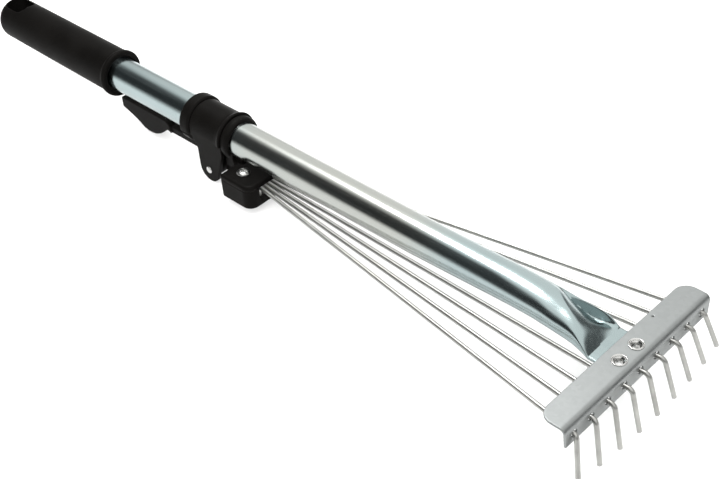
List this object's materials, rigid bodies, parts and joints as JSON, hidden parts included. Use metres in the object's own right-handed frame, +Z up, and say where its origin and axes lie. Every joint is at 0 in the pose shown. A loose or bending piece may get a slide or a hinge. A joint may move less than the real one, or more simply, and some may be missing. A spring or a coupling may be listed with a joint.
{
  "type": "adjustable leaf rake",
  "caption": "Hand leaf rake with a steel tube handle, a moulded grip, a slotted comb plate and spring wire tines that a sliding clamp spreads and narrows.",
  "frame": {"origin": "middle of the footprint, at the level that the tine tips rest on", "axes": "+X from the grip to the comb along the handle tube, +Y to the left, +Z up, away from the ground"},
  "size_m": [0.613, 0.1372, 0.0552],
  "materials": {
    "zinc_tube": "bright zinc-plated steel tube, glossy",
    "galvanised_sheet": "dull galvanised sheet steel with fine spangle",
    "spring_wire": "drawn spring wire, satin",
    "bright_rivet": "bright zinc-plated turned parts",
    "black_plastic": "black moulded polypropylene, fine satin texture"
  },
  "bodies": {
    "frame": {"handle_tube": "zinc_tube", "grip": "black_plastic", "comb_plate": "galvanised_sheet", "eyelet_left": "bright_rivet", "eyelet_right": "bright_rivet"},
    "slider": {"slider_body": "black_plastic", "tine_block_base": "black_plastic", "clamp_band": "black_plastic", "lever_pin": "bright_rivet", "block_screw_left": "bright_rivet", "block_screw_right": "bright_rivet"},
    "lever": {"cam_lever": "black_plastic"},
    "wire_1": {"tine_1": "spring_wire"},
    "wire_2": {"tine_2": "spring_wire"},
    "wire_3": {"tine_3": "spring_wire"},
    "wire_4": {"tine_4": "spring_wire"},
    "wire_5": {"tine_5": "spring_wire"},
    "wire_6": {"tine_6": "spring_wire"},
    "wire_7": {"tine_7": "spring_wire"},
    "wire_8": {"tine_8": "spring_wire"},
    "wire_9": {"tine_9": "spring_wire"}
  },
  "joints": [
    {"name": "slider_travel", "type": "slide", "parent": "frame", "child": "slider", "axis": [1, 0, 0], "range_m": [0, 0.08]},
    {"name": "lever_pivot", "type": "hinge", "parent": "slider", "child": "lever", "pos_m": [-0.0562, 0, 0.00989], "axis": [0, -1, 0], "range_deg": [0, 95]},
    {"name": "wire_1_swing", "type": "hinge", "parent": "slider", "child": "wire_1", "pos_m": [-0.0067, -0.01332, 0.01859], "axis": [0, -0.1726, -0.985], "range_deg": [0, 3.2]},
    {"name": "wire_2_swing", "type": "hinge", "parent": "slider", "child": "wire_2", "pos_m": [-0.0067, -0.00999, 0.01859], "axis": [0, -0.2275, -0.9738], "range_deg": [0, 2.5]},
    {"name": "wire_3_swing", "type": "hinge", "parent": "slider", "child": "wire_3", "pos_m": [-0.0067, -0.00666, 0.01859], "axis": [0, -0.3307, -0.9437], "range_deg": [0, 1.8]},
    {"name": "wire_4_swing", "type": "hinge", "parent": "slider", "child": "wire_4", "pos_m": [-0.0067, -0.00333, 0.01859], "axis": [0, -0.574, -0.8189], "range_deg": [0, 1.1]},
    {"name": "wire_5_swing", "type": "hinge", "parent": "slider", "child": "wire_5", "pos_m": [-0.0067, 0, 0.01859], "axis": [0, -1, 0], "range_deg": [0, 0.7]},
    {"name": "wire_6_swing", "type": "hinge", "parent": "slider", "child": "wire_6", "pos_m": [-0.0067, 0.00333, 0.01859], "axis": [0, -0.574, 0.8189], "range_deg": [0, 1.1]},
    {"name": "wire_7_swing", "type": "hinge", "parent": "slider", "child": "wire_7", "pos_m": [-0.0067, 0.00666, 0.01859], "axis": [0, -0.3307, 0.9437], "range_deg": [0, 1.8]},
    {"name": "wire_8_swing", "type": "hinge", "parent": "slider", "child": "wire_8", "pos_m": [-0.0067, 0.00999, 0.01859], "axis": [0, -0.2275, 0.9738], "range_deg": [0, 2.5]},
    {"name": "wire_9_swing", "type": "hinge", "parent": "slider", "child": "wire_9", "pos_m": [-0.0067, 0.01332, 0.01859], "axis": [0, -0.1726, 0.985], "range_deg": [0, 3.2]}
  ],
  "couplings": [
    {"joint": "wire_1_swing", "follows": "slider_travel", "rad_per_m": 0.675},
    {"joint": "wire_2_swing", "follows": "slider_travel", "rad_per_m": 0.5225},
    {"joint": "wire_3_swing", "follows": "slider_travel", "rad_per_m": 0.3675},
    {"joint": "wire_4_swing", "follows": "slider_travel", "rad_per_m": 0.22},
    {"joint": "wire_5_swing", "follows": "slider_travel", "rad_per_m": 0.13},
    {"joint": "wire_6_swing", "follows": "slider_travel", "rad_per_m": 0.22},
    {"joint": "wire_7_swing", "follows": "slider_travel", "rad_per_m": 0.3675},
    {"joint": "wire_8_swing", "follows": "slider_travel", "rad_per_m": 0.5225},
    {"joint": "wire_9_swing", "follows": "slider_travel", "rad_per_m": 0.675}
  ]
}
